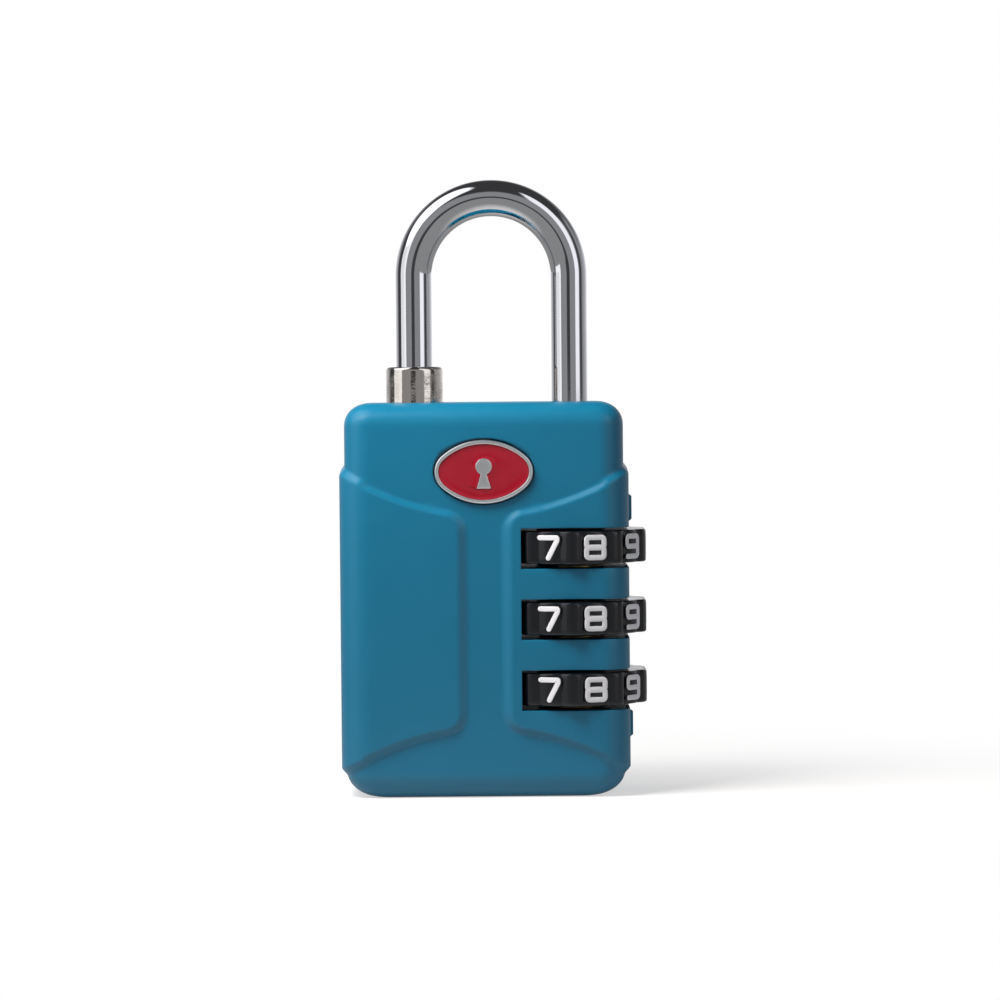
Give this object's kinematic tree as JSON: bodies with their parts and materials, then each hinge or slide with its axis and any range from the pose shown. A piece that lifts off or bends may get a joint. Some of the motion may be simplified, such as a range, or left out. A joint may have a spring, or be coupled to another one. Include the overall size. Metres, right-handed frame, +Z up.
{
  "type": "combination padlock",
  "caption": "Travel padlock with number dials on the shackle's long leg, a key cylinder in its base and an oval badge.",
  "frame": {"origin": "centre of the flat base face", "axes": "+X to the right seen from the front, towards the dials; +Y to the back, so the badge faces -Y; +Z up along the shackle"},
  "size_m": [0.0319, 0.0162, 0.0642],
  "materials": {
    "shell_plastic": "satin teal-blue ABS",
    "dial_plastic": "satin charcoal ABS with light grey numbers",
    "shackle_chrome": "polished chrome plate on steel",
    "cast_nickel": "nickel plate on a slightly rough casting",
    "cast_zinc": "bare die-cast zinc",
    "brass": "turned brass",
    "spring_steel": "bright spring steel",
    "steel": "plain steel",
    "badge_metal": "satin silver plate",
    "badge_enamel": "glossy red enamel"
  },
  "bodies": {
    "body": {"front_shell": "shell_plastic", "rear_shell": "shell_plastic", "shell_pins": "steel", "chassis": "cast_zinc", "shackle_collar": "cast_nickel", "leg_bush": "brass", "shackle_spring": "spring_steel", "spring_peg": "steel", "thrust_ring": "brass", "reset_spring": "spring_steel", "detent_spring": "spring_steel", "detent_rivets": "steel", "cylinder_shell": "brass", "release_spring": "spring_steel", "badge_plate": "badge_metal", "badge_enamel": "badge_enamel"},
    "rising_shackle": {"shackle": "shackle_chrome", "lock_spindle": "cast_zinc", "spindle_pin": "steel", "retaining_clip": "spring_steel"},
    "dial_1_set": {"dial_1": "dial_plastic", "sleeve_1": "brass"},
    "dial_2_set": {"dial_2": "dial_plastic", "sleeve_2": "brass"},
    "dial_3_set": {"dial_3": "dial_plastic", "sleeve_3": "brass"},
    "plug_set": {"key_plug": "brass", "wafers": "brass", "wafer_springs": "spring_steel", "cam": "cast_zinc", "cam_clip": "spring_steel"},
    "slide": {"release_slide": "steel"}
  },
  "joints": [
    {"name": "shackle_lift", "type": "slide", "parent": "body", "child": "rising_shackle", "axis": [0, 0, 1], "range_m": [0, 0.00735], "deforming": ["shackle_spring"]},
    {"name": "dial_1_spin", "type": "hinge", "parent": "body", "child": "dial_1_set", "pos_m": [0.00905, 0, 0.02585], "axis": [0, 0, 1], "continuous": true, "deforming": ["detent_spring"]},
    {"name": "dial_2_spin", "type": "hinge", "parent": "body", "child": "dial_2_set", "pos_m": [0.00905, 0, 0.0185], "axis": [0, 0, 1], "continuous": true, "deforming": ["detent_spring"]},
    {"name": "dial_3_spin", "type": "hinge", "parent": "body", "child": "dial_3_set", "pos_m": [0.00905, 0, 0.01115], "axis": [0, 0, 1], "continuous": true, "deforming": ["detent_spring"]},
    {"name": "key_plug_turn", "type": "hinge", "parent": "body", "child": "plug_set", "pos_m": [-0.00629, 0, 0.012], "axis": [0, 0, 1], "range_deg": [0, 90]},
    {"name": "release_slide_travel", "type": "slide", "parent": "body", "child": "slide", "axis": [-1, 0, 0], "range_m": [0, 0.00269], "deforming": ["release_spring"]}
  ],
  "couplings": [
    {"joint": "key_plug_turn", "follows": "release_slide_travel", "rad_per_m": 584.59}
  ]
}
